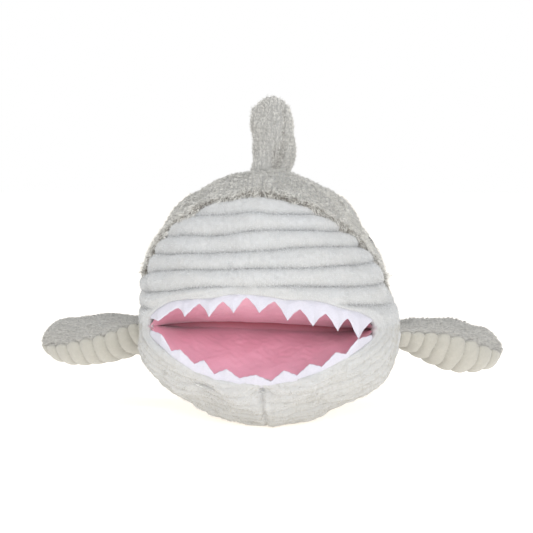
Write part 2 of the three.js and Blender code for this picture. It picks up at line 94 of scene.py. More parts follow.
FOLD_HEIGHT = 61.0
FOLD_LINE = [(-68, 61), (-48, 61.8), (-35, 62.4), (-3, 61.5), (23, 60.3), (44, 59), (66.5, 59.5)]
CORNER_HEIGHT = 65.8
MOUTH_MIDDLE, MOUTH_HALF = 0.5 * (CORNER_LEFT + CORNER_RIGHT), 0.5 * (CORNER_LEFT - CORNER_RIGHT)

MM = 0.001


# ---- Small numeric helpers ----
def smooth(values, low, high):
    t = np.clip((values - low) / (high - low), 0, 1)
    return t * t * (3 - 2 * t)


def curve(table, at):
    """A smooth curve through [position, value] pairs, read at the positions given."""
    xs, ys = np.array(table, float).T
    fine = np.linspace(xs[0], xs[-1], 1200)
    values = np.interp(fine, xs, ys)
    window = np.hanning(41)
    window /= window.sum()
    for _ in range(3):
        padded = np.pad(values, len(window) // 2, mode="reflect", reflect_type="odd")
        values = np.convolve(padded, window, "valid")
    return np.interp(at, fine, values)


def waves(points, wavelength, seed):
    """Smooth seeded noise of about unit size, from plane waves of about one wavelength in mm."""
    draw, count = np.random.default_rng(seed), 28
    directions = draw.normal(size=(count, 3))
    directions /= np.linalg.norm(directions, axis=1)[:, None]
    k = directions * (2 * math.pi / wavelength) * draw.uniform(0.65, 1.5, (count, 1))
    phase = draw.uniform(0, 2 * math.pi, count)
    flat = points.reshape(-1, 3)
    total = np.zeros(len(flat))
    for ki, pi in zip(k, phase):
        total += np.sin(flat @ ki + pi)
    return (total * math.sqrt(2.0 / count)).reshape(points.shape[:-1])


def y_of(s):
    return s - MID_LENGTH


def signed_power(values, power):
    return np.sign(values) * np.abs(values) ** power


def bell(values, width, power=2):
    """1 at 0, falling off over a width."""
    return np.exp(-((values / width) ** power))


def tapered(u, power):
    """1 over most of a span, rounding off to 0 at u = 1."""
    return np.sqrt(np.clip(1 - u**power, 0, 1))


def rows_unit(vectors, least=1e-6):
    """Vectors scaled to length 1; least keeps the zero ones finite."""
    return vectors / np.maximum(np.linalg.norm(vectors, axis=-1, keepdims=True), least)


def flattened(vectors, normals):
    """Vectors without their part along the unit normals."""
    return vectors - (vectors * normals).sum(-1, keepdims=True) * normals


def run_length(points):
    """Length along each column of a grid, from its first row."""
    steps = np.linalg.norm(np.diff(points, axis=0), axis=-1)
    return np.concatenate([np.zeros((1, points.shape[1])), np.cumsum(steps, axis=0)])


def ring_steps(values):
    """From the column before to the column after, on a grid whose columns go all the way round."""
    return np.roll(values, -1, 1) - np.roll(values, 1, 1)


# ---- Meshes from arrays ----
def grid_faces(rows, columns, closed=False):
    """Quads of a grid of points numbered row by row; closed joins the last column to the first."""
    index = np.arange(rows * columns).reshape(rows, columns)
    if closed:
        index = np.concatenate([index, index[:, :1]], axis=1)
    a, b, c, d = index[:-1, :-1], index[:-1, 1:], index[1:, 1:], index[1:, :-1]
    return np.stack([a, b, c, d], axis=-1).reshape(-1, 4)


def placed(name, data):
    """An object with this data, in the scene."""
    obj = bpy.data.objects.new(name, data)
    bpy.context.scene.collection.objects.link(obj)
    return obj


def make_mesh(name, points, faces, material, attributes=None):
    """A mesh object from points in mm and faces of three or four corners each."""
    used = np.unique(faces)
    remap = np.zeros(points.reshape(-1, 3).shape[0], int)
    remap[used] = np.arange(len(used))
    points = points.reshape(-1, 3)[used]
    faces = remap[faces]
    mesh = bpy.data.meshes.new(name)
    mesh.vertices.add(len(points))
    mesh.vertices.foreach_set("co", (points * MM).astype(np.float32).ravel())
    mesh.loops.add(faces.size)
    mesh.loops.foreach_set("vertex_index", faces.astype(np.int32).ravel())
    mesh.polygons.add(len(faces))
    mesh.polygons.foreach_set("loop_start", np.arange(0, faces.size, faces.shape[1], dtype=np.int32))
    mesh.update(calc_edges=True)
    mesh.validate()
    mesh.polygons.foreach_set("use_smooth", np.ones(len(mesh.polygons), bool))
    for key, values in (attributes or {}).items():
        layer = mesh.attributes.new(key, "FLOAT", "POINT")
        layer.data.foreach_set("value", values.ravel()[used].astype(np.float32))
    mesh.materials.append(material)
    return placed(name, mesh)


def grid_normals(points, closed=False):
    """Unit normals of a (rows, columns, 3) grid: along rows crossed with along columns."""
    across = ring_steps(points) if closed else np.gradient(points, axis=1)
    return rows_unit(np.cross(across, np.gradient(points, axis=0)), 1e-9)


def wound(points, faces, normals):
    """The faces, turned round where they look away from the normals of their corners."""
    flat, flat_normals = points.reshape(-1, 3), normals.reshape(-1, 3)
    a, b, c = (flat[faces[:, i]] for i in range(3))
    agree = (np.cross(b - a, c - a) * flat_normals[faces[:, 0]]).sum()
    return faces if agree > 0 else faces[:, ::-1]


def read(items, key, size, kind=float):
    """One property of a mesh's vertices or corners, as rows of a size."""
    values = np.zeros(len(items) * size, kind)
    items.foreach_get(key, values)
    return values.reshape(-1, size)


# ---- Materials ----
class Nodes:
    """Short names for building one node material."""

    def __init__(self, name):
        self.material = bpy.data.materials.new(name)
        self.material.use_nodes = True
        self.tree = self.material.node_tree
        self.shader = self.tree.nodes["Principled BSDF"]
        self.object = self.add("ShaderNodeTexCoord").outputs["Object"]

    def add(self, kind, **values):
        node = self.tree.nodes.new(kind)
        for key, value in values.items():
            if key in node.inputs:
                node.inputs[key].default_value = value
            else:
                setattr(node, key, value)
        return node

    def link(self, a, b):
        self.tree.links.new(a, b)

    def noise(self, wavelength, detail=2.0, roughness=0.6, stretch=(1, 1, 1)):
        """A noise texture whose features are about a wavelength in mm across."""
        mapping = self.add("ShaderNodeMapping")
        mapping.inputs["Scale"].default_value = [1 / (wavelength * MM * k) for k in stretch]
        self.link(self.object, mapping.inputs["Vector"])
        node = self.add("ShaderNodeTexNoise", Scale=1.0, Detail=detail, Roughness=roughness)
        self.link(mapping.outputs["Vector"], node.inputs["Vector"])
        return node.outputs["Fac"]

    def ramp(self, factor, low, high, color_a, color_b):
        node = self.add("ShaderNodeValToRGB")
        first, last = node.color_ramp.elements
        first.position, first.color = low, (*color_a, 1)
        last.position, last.color = high, (*color_b, 1)
        self.link(factor, node.inputs["Fac"])
        return node.outputs["Color"]

    def mix(self, factor, a, b):
        node = self.add("ShaderNodeMix", data_type="RGBA")
        for socket, value in ((0, factor), (6, a), (7, b)):
            if isinstance(value, (int, float)):
                node.inputs[socket].default_value = value
            elif isinstance(value, tuple):
                node.inputs[socket].default_value = (*value, 1)
            else:
                self.link(value, node.inputs[socket])
        return node.outputs[2]

    def attribute(self, name):
        return self.add("ShaderNodeAttribute", attribute_name=name).outputs["Fac"]

    def bump(self, height, distance, strength=1.0, previous=None):
        node = self.add("ShaderNodeBump", Strength=strength, Distance=distance * MM)
        self.link(height, node.inputs["Height"])
        if previous is not None:
            self.link(previous, node.inputs["Normal"])
        return node.outputs["Normal"]

    def finish(self, color, roughness, normal=None, sheen=0.0, sheen_roughness=0.4, subsurface=0.0):
        if isinstance(color, tuple):
            self.shader.inputs["Base Color"].default_value = (*color, 1)
        else:
            self.link(color, self.shader.inputs["Base Color"])
        self.shader.inputs["Roughness"].default_value = roughness
        self.shader.inputs["Specular IOR Level"].default_value = 0.2
        self.shader.inputs["Sheen Weight"].default_value = sheen
        self.shader.inputs["Sheen Roughness"].default_value = sheen_roughness
        if subsurface:
            self.shader.inputs["Subsurface Weight"].default_value = subsurface
            self.shader.inputs["Subsurface Radius"].default_value = (0.004, 0.0035, 0.003)
            self.shader.inputs["Subsurface Scale"].default_value = 0.6
        if normal is not None:
            self.link(normal, self.shader.inputs["Normal"])
        return self.material


def scaled(color, factor):
    return tuple(min(channel * factor, 1.0) for channel in color)


def plush(name, color, tint, groove_shade_color, bump=0.5):
    """Short pile: fine fibres, small clumps, broad tone changes, and painted shade with knit dots in the grooves and
    along seams.
    """
    n = Nodes(name)
    fibres = n.noise(1.0, detail=3.0, roughness=0.7, stretch=(0.8, 1.2, 2.2))
    clumps = n.noise(4.0, detail=3.0)
    broad = n.noise(26, detail=2.0)
    base = n.ramp(clumps, 0.3, 0.7, scaled(color, 0.93), scaled(color, 1.05))
    base = n.mix(n.ramp(broad, 0.35, 0.65, (0, 0, 0), (1, 1, 1)), base, n.mix(0.35, base, tint))
    base = n.mix(n.ramp(fibres, 0.25, 0.75, (0.35,) * 3, (0, 0, 0)), base, scaled(color, 0.72))
    # Painted shade, dotted like knit, darkens the marked grooves and seams.
    knit = n.noise(1.1, detail=0.0, stretch=(1, 1, 0.7))
    dots = n.ramp(knit, 0.42, 0.62, scaled(groove_shade_color, 0.75), scaled(groove_shade_color, 1.2))
    base = n.mix(n.attribute("groove"), base, dots)
    normal = n.bump(clumps, 0.6, 0.2)
    normal = n.bump(fibres, 0.9, bump, normal)
    return n.finish(base, 0.95, normal, sheen=0.35, sheen_roughness=0.5, subsurface=0.12)


def strand_material(name, color):
    """One plain colour, so that the pile's many strands need no texture."""
    return Nodes(name).finish(color, 0.9, sheen=0.25, sheen_roughness=0.5)


GREY, GREY_TINT = (0.47, 0.464, 0.445), (0.435, 0.432, 0.42)
WHITE, WHITE_TINT = (0.52, 0.53, 0.54), (0.505, 0.50, 0.485)
PINK = (0.82, 0.44, 0.55)
FELT = (0.57, 0.565, 0.635)

# The last colour given to each plush is the painted shade laid in its grooves and along its seams; the grey's is
# brownish, for under the snout seam's fringe.
MATERIALS = {
    "grey": plush("grey_plush", scaled(GREY, 0.9), scaled(GREY_TINT, 0.88), (0.25, 0.232, 0.205), bump=0.6),
    "white": plush("white_ribbed_plush", WHITE, WHITE_TINT, scaled(WHITE, 0.66), bump=0.4),
    # The fins' undersides are a darker, warmer white: painted shade under the fins.
    "fin_white_shaded": plush("white_fin_plush", (0.44, 0.43, 0.39), (0.42, 0.41, 0.37), (0.29, 0.28, 0.25), bump=0.4),
    "grey_strands": strand_material("grey_pile", scaled(GREY, 1.5)),
    "grey_mid_strands": strand_material("grey_pile_mid", scaled(GREY, 1.2)),
    # Painted shade: dark strands under the snout seam's fringe.
    "grey_shade_strands": strand_material("grey_pile_dark", (0.30, 0.275, 0.24)),
    "grey_light_strands": strand_material("grey_pile_light", scaled(GREY, 1.78)),
    "white_strands": strand_material("white_pile", scaled(WHITE, 1.17)),
    # Painted shade: the chin's pile is a darker, warmer white than the snout's.
    "chin_shade_strands": strand_material("white_pile_warm", (0.53, 0.518, 0.485)),
}


def lining_material():
    n = Nodes("pink_fleece")
    grain = n.noise(0.8, detail=3.0, roughness=0.7)
    broad = n.noise(18, detail=2.0)
    base = n.ramp(broad, 0.3, 0.7, scaled(PINK, 0.95), scaled(PINK, 1.04))
    base = n.mix(n.ramp(grain, 0.3, 0.7, (0.25,) * 3, (0, 0, 0)), base, scaled(PINK, 0.8))
    # Painted shade along the fold where the roof and floor meet.
    base = n.mix(n.attribute("groove"), base, (0.45, 0.12, 0.155))
    return n.finish(base, 0.95, n.bump(grain, 0.35, 0.5), sheen=0.25, subsurface=0.1)


def grained(name, noise, low, colors, roughness, bump, **look):
    """One noise, given as Nodes.noise takes it, makes both the colour and the bump."""
    n = Nodes(name)
    grain = n.noise(*noise)
    base = n.ramp(grain, low, 1 - low, *colors)
    return n.finish(base, roughness, n.bump(grain, *bump), **look)


MATERIALS["pink"] = lining_material()
MATERIALS["felt"] = grained("white_felt", (0.7, 4.0, 0.75, (2.2, 1, 1)), 0.25, (scaled(FELT, 0.9), scaled(FELT, 1.04)),
                            0.9, (0.3, 0.5), sheen=0.2, subsurface=0.1)


# ---- Body surface ----
def section(s):
    """Half width, waist height, top and bottom of the body at stations s."""
    s = np.asarray(s, float)
    rear = np.clip((s - GIRTH) / (END - GIRTH), 0, 1)
    front = np.clip((GIRTH - s) / (GIRTH - FRONT), 0, 1)
    last = np.sqrt(1 - 0.8 * np.clip((s - END + END_ROUNDING) / END_ROUNDING, 0, 1) ** 2)
    waist = WAIST + (0.5 * (STALK_TOP + STALK_BOTTOM) - WAIST) * rear
    width = STALK_HALF_WIDTH + (HALF_WIDTH - STALK_HALF_WIDTH) * (1 - rear**1.9) ** 1.1
    top = STALK_TOP + (BACK_HEIGHT - STALK_TOP) * (1 - rear**2.6)
    bottom = -SINK + (STALK_BOTTOM + SINK) * rear**3
    side, above, below = ((1 - front**blunt) ** (1 / blunt) * last for blunt in (BLUNT_SIDE, BLUNT_TOP, BLUNT_BOTTOM))
    return width * side, waist, waist + (top - waist) * above, waist - (waist - bottom) * below


def halved(start, shape, before, steps):
    """Stations where a condition that holds from the start ends, found by halving, at the girth at most."""
    low, high = np.full(shape, start), np.full(shape, GIRTH)
    for _ in range(steps):
        mid = 0.5 * (low + high)
        holds = before(mid)
        low, high = np.where(holds, mid, low), np.where(holds, high, mid)
    return high


def body_point(theta, s):
    """Points on the body's skin at an angle around it and a station, in mm."""
    width, waist, top, bottom = section(s)
    reach = np.where(np.sin(theta) > 0, top - waist, waist - bottom)
    z = waist + reach * np.sin(theta)
    return np.stack([width * np.cos(theta), y_of(s) + 0 * z, z], axis=-1)


def face_station(x, z):
    """The station where the skin stands over a point of the front view."""

    def outside(s):
        width, waist, top, bottom = section(s)
        rise = np.abs(z - waist) / np.where(z > waist, top - waist, waist - bottom)
        return ~((x / np.maximum(width, 1e-6)) ** 2 + rise**2 < 1)

    return halved(FRONT, np.shape(x), outside, 30)


HEM_RADIUS, HEM_TURN = 2.2, math.radians(170)


def in_mouth(x, z):
    """Whether points of the front view lie in the hole cut for the mouth, which the hem rolls back over."""
    inner = MOUTH_MIDDLE + (x - MOUTH_MIDDLE) * MOUTH_HALF / (MOUTH_HALF + 0.8 * HEM_RADIUS)
    within = (inner > CORNER_RIGHT) & (inner < CORNER_LEFT)
    margin = 0.7 * HEM_RADIUS
    return within & (z < curve(UPPER_LIP, inner) + margin) & (z > curve(LOWER_LIP, inner) - margin)


def side_distance(table, s, z):
    """Signed distance in the side view from a polyline, positive above it."""
    line = np.array(table, float)
    best = np.full(np.shape(s), 1e9)
    sign = np.ones(np.shape(s))
    for (s0, z0), (s1, z1) in zip(line[:-1], line[1:]):
        ds, dz = s1 - s0, z1 - z0
        t = np.clip(((s - s0) * ds + (z - z0) * dz) / (ds * ds + dz * dz), 0, 1)
        distance = np.hypot(s - s0 - t * ds, z - z0 - t * dz)
        closer = distance < best
        best = np.where(closer, distance, best)
        sign = np.where(closer, np.sign(ds * (z - z0) - dz * (s - s0)), sign)
    return best * sign


def rounded(table):
    """A polyline with its corners cut twice."""
    line = np.array(table, float)
    for _ in range(2):
        a, b = line[:-1], line[1:]
        inner = np.stack([0.75 * a + 0.25 * b, 0.25 * a + 0.75 * b], axis=1).reshape(-1, 2)
        line = np.concatenate([line[:1], inner, line[-1:]])
    return line


SEAM_RIGHT, SEAM_LEFT = rounded(SEAM_RIGHT), rounded(SEAM_LEFT)
# Height of each groove between the snout's ribs on the centre plane, and how far it tilts per mm to the left.
GROOVES = [(66, 0.0), (81.5, -0.03), (92.3, -0.035), (103, -0.04), (113.3, -0.04), (123.4, -0.035), (133.2, -0.02),
           (143.5, 0.0), (154, 0.0)]


def snout_phase(x, z):
    """Rib number of points of the snout; a groove lies at every whole number."""
    heights, tilts = np.array(GROOVES).T
    phase = np.interp(z, heights, np.arange(len(heights)))
    tilt = np.interp(phase, np.arange(len(tilts)), tilts)
    bend = -0.00075 * x * x + 0.7 * np.sin(x / 22 + 1.4 * phase) + 0.25 * np.sin(x / 9.5 + 2.7 * phase)
    return np.interp(z + tilt * x - bend, heights, np.arange(len(heights)))


def seam_distance(x, s, z):
    """Signed distance in the side view from the grey and white seam, positive on the grey side."""
    share = smooth(x, -6, 6)
    distance = side_distance(SEAM_RIGHT, s, z) * (1 - share) + side_distance(SEAM_LEFT, s, z) * share
    # The ends of the snout's ribs bulge over the seam.
    bulge = np.abs(np.sin(math.pi * snout_phase(x, z))) ** 0.7 - 0.55
    return distance - 2.0 * bulge * smooth(z, 72, 80) * smooth(np.abs(x), 12, 30)


def over_snout(s, z):
    return (s < 60) & (z > 78)


# The stuffed body leans a little: [height, shift towards the shark's left] in mm.
LEAN = [(-5, 1), (15, 1.5), (30, 1.8), (45, 2.2), (60, 1.8), (75, 0), (90, -2.4), (110, -3.6), (150, -3.5), (230, -3.5)]


def leaning(points):
    """Points in mm, shifted sideways; the face and everything from the eyes back stay where they are."""
    z, s = points[..., 2], points[..., 1] + MID_LENGTH
    shifted = points.copy()
    shifted[..., 0] += curve(LEAN, z) * smooth(s, 18, 65) * (1 - smooth(s, 92, 120))
    return shifted


AROUND, HEAD_ROWS, REAR_ROWS, HEM_ROWS = 720, 150, 110, 9

# Angles and stations of the grid: columns run round the body, rows run back from the lip.
angles = np.linspace(-math.pi, math.pi, AROUND, endpoint=False) + 0.5 * math.pi / AROUND
lip_station = halved(FRONT + 1e-4, AROUND, lambda s: in_mouth(*body_point(angles, s)[:, ::2].T), 40)
# Fine samples along each column, spaced so that the blunt front is well covered, then evened out by length.
fine = np.linspace(0, 1, 400)
start = np.arccos(np.clip((GIRTH - lip_station) / (GIRTH - FRONT), 0, 1) ** (BLUNT_SIDE / 2))
phi = start[None, :] + (math.pi / 2 - start[None, :]) * fine[:, None]
stations = GIRTH - (GIRTH - FRONT) * np.cos(phi) ** (2 / BLUNT_SIDE)
samples = body_point(np.broadcast_to(angles, stations.shape), stations)
lengths = run_length(samples)
wanted = np.linspace(0, 1, HEAD_ROWS)
head_s = np.stack(
    [np.interp(wanted * lengths[-1, j], lengths[:, j], stations[:, j]) for j in range(AROUND)], axis=1
)
rear_s = GIRTH + (END - GIRTH) * np.linspace(0, 1, REAR_ROWS + 1)[1:] ** 1.05
grid_s = np.concatenate([head_s, np.broadcast_to(rear_s[:, None], (REAR_ROWS, AROUND))])
grid_theta = np.broadcast_to(angles, grid_s.shape).copy()

SNAP = 0.55  # cells of the grid
step_t, step_s = 1e-3, 0.2


def seam_at(theta, s):
    place = body_point(theta, s)
    return seam_distance(place[..., 0], s, place[..., 2])


# Points close to the seam are moved onto it, so that the two fabrics meet in a clean line.
for _ in range(2):
    f0 = seam_at(grid_theta, grid_s)
    f_t = (seam_at(grid_theta + step_t, grid_s) - f0) / step_t
    f_s = (seam_at(grid_theta, grid_s + step_s) - f0) / step_s
    cell_t = 2 * math.pi / AROUND
    cell_s = np.abs(np.gradient(grid_s, axis=0))
    g_t, g_s = f_t * cell_t, f_s * cell_s
    size = np.maximum(g_t**2 + g_s**2, 1e-9)
    a, b = -f0 * g_t / size, -f0 * g_s / size
    near = (np.hypot(a, b) < SNAP) & (grid_s > lip_station[None, :] + 0.5)
    near[:2] = False
    grid_theta = np.where(near, grid_theta + a * cell_t, grid_theta)
    grid_s = np.where(near, np.clip(grid_s + b * cell_s, FRONT, END), grid_s)
skin = body_point(grid_theta, grid_s)
normals = -grid_normals(skin, closed=True)
if (normals[60, :, 2] * np.sign(np.sin(angles))).sum() < 0:
    normals = -normals
seam_side = seam_distance(skin[..., 0], grid_s, skin[..., 2])
# The side view's distance is turned into distance along the skin.
step_around = np.linalg.norm(ring_steps(skin), axis=-1)
rise_around = ring_steps(seam_side) / np.maximum(step_around, 1e-6)
row_step = np.linalg.norm(np.gradient(skin, axis=0), axis=-1)
rise_along = np.gradient(seam_side, axis=0) / np.maximum(row_step, 1e-6)
seam_side = seam_side / np.clip(np.hypot(rise_around, rise_along), 0.25, 1)

# ---- Relief of the skin ----
# The ribs' spacing and height in mm.
CHIN_PITCH, BELLY_PITCH, FIN_PITCH = 8.6, 10.2, 9.2
SNOUT_RIB, CHIN_RIB, BELLY_RIB, FIN_RIB = 2.9, 0.75, 1.5, 1.8
x, z = skin[..., 0], skin[..., 2]


def ribs(phase, height, power=0.5):
    """Rounded ribs with narrow grooves at whole phases: (height, groove from 0 to 1)."""
    profile = np.abs(np.sin(math.pi * phase)) ** power
    return height * profile, 1 - profile


# Snout: level ribs that tilt a little up to the left, each with its own slight wander.
wander = 0.5 * waves(skin * [0.4, 0.4, 1.0], 45, 11)
snout_height, snout_groove = ribs(snout_phase(x, z), SNOUT_RIB, 0.6)
fade = smooth(grid_s, 35, 70)
snout_height, snout_groove = snout_height * (1 - 0.6 * fade), snout_groove * (1 - 0.5 * fade)
# Chin: low ribs that follow the jaw's outline, in a V at the centre seam.
from_lip = run_length(skin)
chin_phase = (from_lip - 0.28 * np.abs(x) + 3 + wander) / CHIN_PITCH
chin_height, chin_groove = ribs(chin_phase, CHIN_RIB, 0.6)
# Belly: ribs along the body.
belly_phase = (grid_theta * 78 + wander) / BELLY_PITCH
belly_height, belly_groove = ribs(belly_phase, BELLY_RIB)

upper = smooth(z, 64, 74)
rear_white = smooth(grid_s, 62, 84) * (1 - upper)
white_relief = upper * snout_height + (1 - upper) * ((1 - rear_white) * chin_height + rear_white * belly_height)
groove = upper * snout_groove + (1 - upper) * ((1 - rear_white) * chin_groove * 0.5 + rear_white * belly_groove)
white_share = smooth(-seam_side, -0.2, 0.2)

# Seams pull the skin in: the grey and white seam, the top seam, the chin's centre seam.
snout_seam = over_snout(grid_s, z) & (seam_side > 0)
seam_pull = -2.2 * bell(np.abs(seam_side), np.where(snout_seam, 0.9, 1.7), 1.4)
seam_pull = seam_pull + 1.6 * smooth(seam_side, 0.3, 2.5) * (1 - smooth(seam_side, 8, 22)) * snout_seam
below = np.sin(grid_theta) < 0
top_seam = bell(np.abs(x), 1.3, 1.5) * (seam_side > 0) * (np.sin(grid_theta) > 0)
chin_seam = bell(np.abs(x + 0.4), 1.4, 1.5) * (seam_side < 0) * below
dimple = np.exp(-((x / 5.5) ** 2) - ((from_lip - 5) / 7.0) ** 2) * below
gathers = np.exp(-((x / 16) ** 2) - (from_lip / 12.0) ** 2) * below
gather_fold = gathers * np.abs(np.sin(np.arctan2(x, from_lip + 3) * 7)) * 1.2

lumps = 0.8 * waves(skin, 34, 3) + 0.25 * waves(skin, 17, 4)
combed = skin * [1.0, 0.3, 0.3]
grey_pile = 0.13 * waves(combed, 6, 5) + 0.16 * waves(combed, 2.0, 6)
white_pile = 0.08 * waves(skin * [1, 1, 0.4], 1.8, 8) + 0.09 * waves(skin, 5, 9)
# The jaw narrows below the cheeks to a keel at the chin's centre seam.
round_angle = np.degrees(np.abs(grid_theta + math.pi / 2))
keel = smooth(110 - grid_s, 0, 40) * (1.6 * bell(round_angle, 9) - 3.0 * bell(round_angle - 35, 15))
# The cheek on the shark's right is a little flatter.
flat_cheek = 2.4 * bell(z - 80, 14) * (x < 0) * smooth(grid_s, 30, 60) * (1 - smooth(grid_s, 90, 120))
relief = (
    lumps
    + white_share * (white_relief + white_pile)
    + (1 - white_share) * (grey_pile + 0.3)
    + seam_pull
    + keel * smooth(from_lip, 2, 16)
    - 1.3 * top_seam
    - flat_cheek
    - 1.7 * chin_seam
    - 3.0 * dimple
    + gather_fold
)
# The belly stays flat where it rests, and the fabric eases towards the lip.
resting = smooth(-normals[..., 2], 0.93, 0.995) * smooth(4 - z, 0, 4)
relief = relief * (1 - resting)
ease = smooth(from_lip, 0, 5)
relief = relief * (0.45 + 0.55 * ease)
skin = skin + normals * relief[..., None]
skin[..., 2] = np.maximum(skin[..., 2], 0.02)
skin = leaning(skin)
# The stalk's end closes under the tail fin.
skin[-1] = skin[-2].mean(axis=0) + [0, 1.5, 0]

# The lip's hem rolls into the mouth.
tangent = rows_unit(flattened(skin[0] - skin[3], normals[0]))
hem = []
for i in range(HEM_ROWS, 0, -1):
    turn = HEM_TURN * i / HEM_ROWS
    hem.append(skin[0] + HEM_RADIUS * (math.sin(turn) * tangent + (math.cos(turn) - 1) * normals[0]))
grid = np.concatenate([hem, skin])
zero_rows = np.zeros((HEM_ROWS, AROUND))
# Painted shade in the white plush's rib grooves, fading towards the lip.
grid_groove_shade = np.concatenate([zero_rows, groove * white_share * ease])
# Painted shade along the grey and white seam, darkest on the grey just above the snout's seam, under the fringe.
seam_shade = 0.5 * bell(seam_side, 1.1) + 0.8 * bell(seam_side, 3.2) * snout_seam
seam_shade = np.concatenate([zero_rows, seam_shade * ease])
grid_groove_shade = np.clip(np.maximum(grid_groove_shade**1.6, seam_shade), 0, 1)

faces = grid_faces(len(grid), AROUND, closed=True)[:, ::-1]


def face_mean(values):
    return values.ravel()[faces].mean(axis=1)


face_side, face_s = (face_mean(np.concatenate([np.repeat(v[:1], HEM_ROWS, 0), v])) for v in (seam_side, grid_s))
face_x, face_z = face_mean(grid[..., 0]), face_mean(grid[..., 2])
grey = face_side > 0
right_side = face_x < 0
# Stations where the sewn panels end.
TRUNK_END, BELLY_SPLIT, THROAT, SNOUT_END = 226.0, 140.0, 72.0, 76.0
is_snout = ~grey & (face_z > CORNER_HEIGHT) & (face_s < SNOUT_END)
is_chin = ~grey & ~is_snout & (face_s < THROAT)
is_belly = ~grey & ~is_snout & ~is_chin & (face_s < TRUNK_END)
is_front_belly = is_belly & (face_s < BELLY_SPLIT)
REGIONS = {
    "back_left": grey & ~right_side & (face_s < TRUNK_END),
    "back_right": grey & right_side & (face_s < TRUNK_END),
    "stalk_back": grey & (face_s >= TRUNK_END),
    "stalk_belly": ~grey & (face_s >= TRUNK_END),
    "snout": is_snout,
    "chin_left": is_chin & ~right_side,
    "chin_right": is_chin & right_side,
    "belly_left": is_front_belly & ~right_side,
    "belly_right": is_front_belly & right_side,
    "belly_left_rear": is_belly & ~is_front_belly & ~right_side,
    "belly_right_rear": is_belly & ~is_front_belly & right_side,
}
skins = {}
for name, chosen in REGIONS.items():
    fabric = MATERIALS["grey" if "back" in name else "white"]
    skins[name] = make_mesh(name, grid, faces[chosen], fabric, {"groove": grid_groove_shade})

# ---- Mouth ----
# Both linings start under the lips and meet in a straight fold at the back of the mouth.
LINING_COLUMNS, LINING_ROWS = 220, 120
BEHIND_LIP, FLOOR_OVERLAP = 3.2, 4.0  # how far the linings start behind the lip, and the floor runs past the fold


def lining(name, lip, sign):
    """One lining, from just inside a lip (sign 1 above, -1 below) back to the fold."""
    a = np.linspace(-1, 1, LINING_COLUMNS)
    b = np.linspace(0, 1, LINING_ROWS)[:, None]
    corner = np.abs(a) ** 14
    lip_x = MOUTH_MIDDLE + (MOUTH_HALF + 1.6 * corner) * signed_power(a, 0.9)
    lip_z = curve(lip, lip_x) * (1 - corner) + (CORNER_HEIGHT - 1.5 * sign) * corner
    lip_s = face_station(lip_x * (1 - 0.02 * corner), lip_z) + BEHIND_LIP - 2.3 * corner
    s_at = lip_s + (FOLD_STATION + (0 if sign > 0 else FLOOR_OVERLAP) - lip_s) * b
    x_at = lip_x * (1 - 0.04 * b)
    fold_z = curve(FOLD_LINE, x_at)
    open_share = np.clip(1 - np.abs(a) ** 5, 0, 1)
    z_at = lip_z + sign * 0.6 + (fold_z - lip_z) * b ** (1.0 if sign > 0 else 0.9)
    if sign > 0:
        # The roof sags over the fold and tucks up behind it, so that it shades the floor.
        z_at = z_at - open_share * 2.5 * np.sin(math.pi * b) ** 2 * b + 3.0 * smooth(b, 0.92, 1.0)
    else:
        z_at = z_at + open_share * (2.4 * np.sin(math.pi * b**0.8) - 0.4) + 10.0 * smooth(b, 0.92, 1.0) ** 1.5
    points = np.stack([x_at + 0 * s_at, y_of(s_at), z_at + 0 * s_at], axis=-1)
    wrinkle = 0.5 * waves(points * [1, 0.5, 1], 24, 21) + 0.12 * waves(points, 6, 22)
    points[..., 2] += wrinkle * np.sin(math.pi * b) * open_share
    # Painted shade: a dark line along the fold where the two linings meet.
    fold_shade = smooth(b, 0.9, 0.97) + 0 * lip_x
    into_mouth = np.broadcast_to([0.0, 0.0, -float(sign)], points.shape)
    quads = wound(points, grid_faces(LINING_ROWS, LINING_COLUMNS), into_mouth)
    return make_mesh(name, leaning(points), quads, MATERIALS["pink"], {"groove": fold_shade})


roof = lining("mouth_roof", UPPER_LIP, 1)
floor_lining = lining("mouth_floor", LOWER_LIP, -1)

# Felt teeth: [x, height] of every tip and valley, in mm.
UPPER_TIPS = [(-61.6, 69.7), (-44.7, 73.5), (-29.8, 74.1), (-15.3, 76.7), (-0.4, 76.9), (15.9, 72.5), (30.5, 69),
              (44.9, 65.7), (57, 60)]
UPPER_VALLEYS = [(-66.5, 70.5), (-48.7, 78.3), (-35.6, 81.4), (-21.8, 83), (-7.9, 85.7), (8.1, 83.4), (22.9, 78.7),
                 (37.7, 75.9), (50.5, 72.6), (64.6, 69.5)]
LOWER_TIPS = [(-59.2, 62.4), (-47.8, 54.1), (-33.7, 47.8), (-20.4, 42.5), (-3.4, 39.2), (13.4, 42), (28.4, 46.2),
              (43.7, 53.2), (56.5, 60.4)]
LOWER_VALLEYS = [(-66.5, 63.6), (-53.2, 52.8), (-39.5, 45.3), (-27.9, 39.2), (-13.2, 36.8), (5.4, 35), (20.8, 38.9),
                 (35.4, 44.4), (49.5, 51.9), (64.5, 61.8)]
FELT_THICKNESS, FELT_ROWS = 1.5, 18
FELT_ROOT, FELT_SETBACK = 2.6, 1.7  # how far the felt reaches past the lip's edge, and stands behind it


